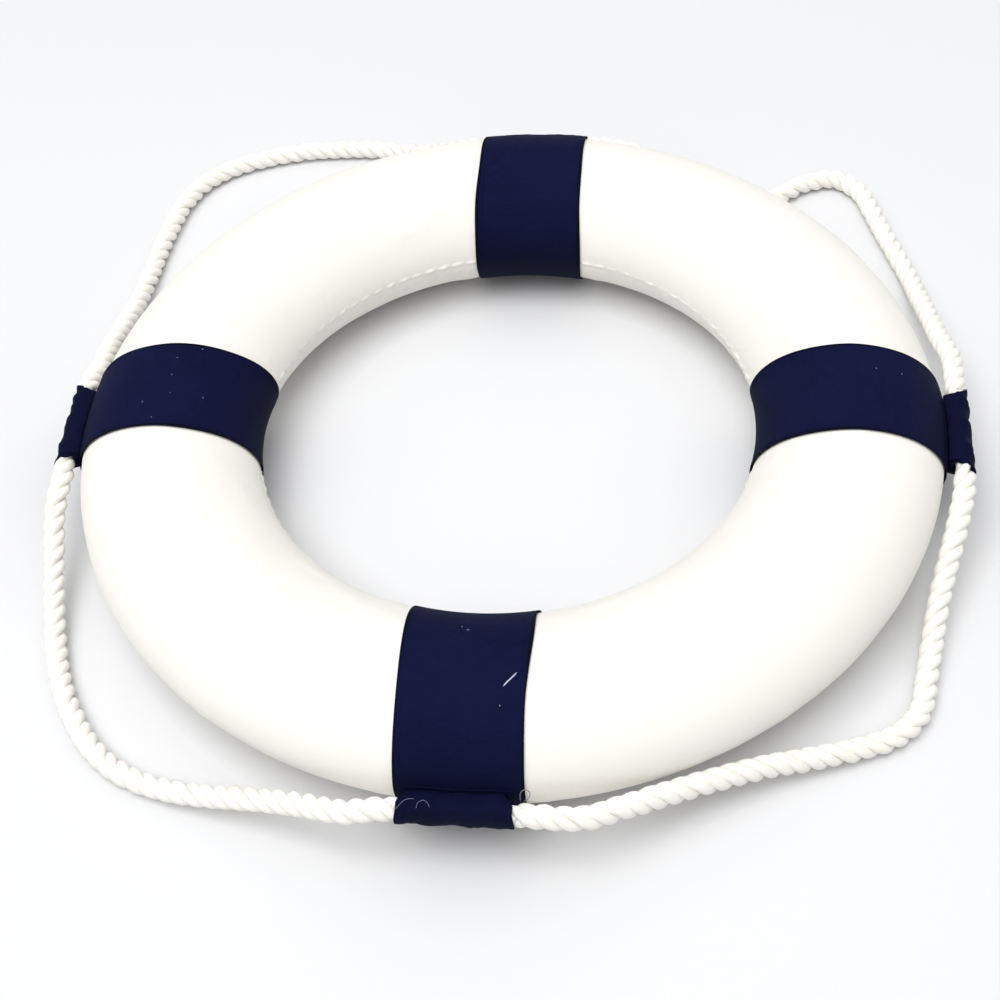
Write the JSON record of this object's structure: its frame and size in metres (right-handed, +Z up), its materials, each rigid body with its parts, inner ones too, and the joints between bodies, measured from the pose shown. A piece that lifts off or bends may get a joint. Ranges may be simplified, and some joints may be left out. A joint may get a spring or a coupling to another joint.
{
  "type": "ring lifebuoy",
  "caption": "Ring lifebuoy: a foam ring in a sewn white cloth cover, with navy cloth bands and a twisted grab rope that runs through a sleeve on each band.",
  "frame": {"origin": "centre of the ring on the surface it lies on", "axes": "+Z up along the ring's axis; the front band is on -Y and the right band on +X"},
  "size_m": [0.5538, 0.5923, 0.0876],
  "materials": {
    "foam": "closed-cell polyethylene foam board, matte",
    "cover_cloth": "tightly woven off-white cloth, matte",
    "thread": "off-white sewing thread",
    "band_cloth": "tightly woven navy cloth, matte with a faint sheen",
    "rope": "three-strand twisted cotton rope, off-white and fuzzy",
    "tape": "cloth tape"
  },
  "bodies": {
    "ring": {"foam_core_upper": "foam", "foam_core_lower": "foam", "cover": "cover_cloth", "closing_thread": "thread", "band_front": "band_cloth", "band_right": "band_cloth", "band_back": "band_cloth", "band_left": "band_cloth", "sleeve_front": "band_cloth", "sleeve_right": "band_cloth", "sleeve_back": "band_cloth", "sleeve_left": "band_cloth", "rope_end_left": "rope", "rope_end_right": "rope", "rope_end_tape": "tape", "rope_in_right_sleeve": "rope", "rope_in_back_sleeve": "rope", "rope_in_left_sleeve": "rope"},
    "loop_front_left": {"rope_front_left": "rope"},
    "loop_front_right": {"rope_front_right": "rope"},
    "loop_back_right": {"rope_back_right": "rope"},
    "loop_back_left": {"rope_back_left": "rope"}
  },
  "joints": [
    {"name": "swing_front_left", "type": "hinge", "parent": "ring", "child": "loop_front_left", "pos_m": [-0.1527, -0.15923, 0.043], "axis": [-0.7218, 0.6921, 0], "range_deg": [0, 95]},
    {"name": "swing_front_right", "type": "hinge", "parent": "ring", "child": "loop_front_right", "pos_m": [0.15363, -0.15363, 0.043], "axis": [-0.7071, -0.7071, 0], "range_deg": [0, 70]},
    {"name": "swing_back_right", "type": "hinge", "parent": "ring", "child": "loop_back_right", "pos_m": [0.15363, 0.15363, 0.043], "axis": [0.7071, -0.7071, 0], "range_deg": [0, 95]},
    {"name": "swing_back_left", "type": "hinge", "parent": "ring", "child": "loop_back_left", "pos_m": [-0.15433, 0.148, 0.043], "axis": [0.6921, 0.7218, 0], "range_deg": [0, 100]}
  ]
}
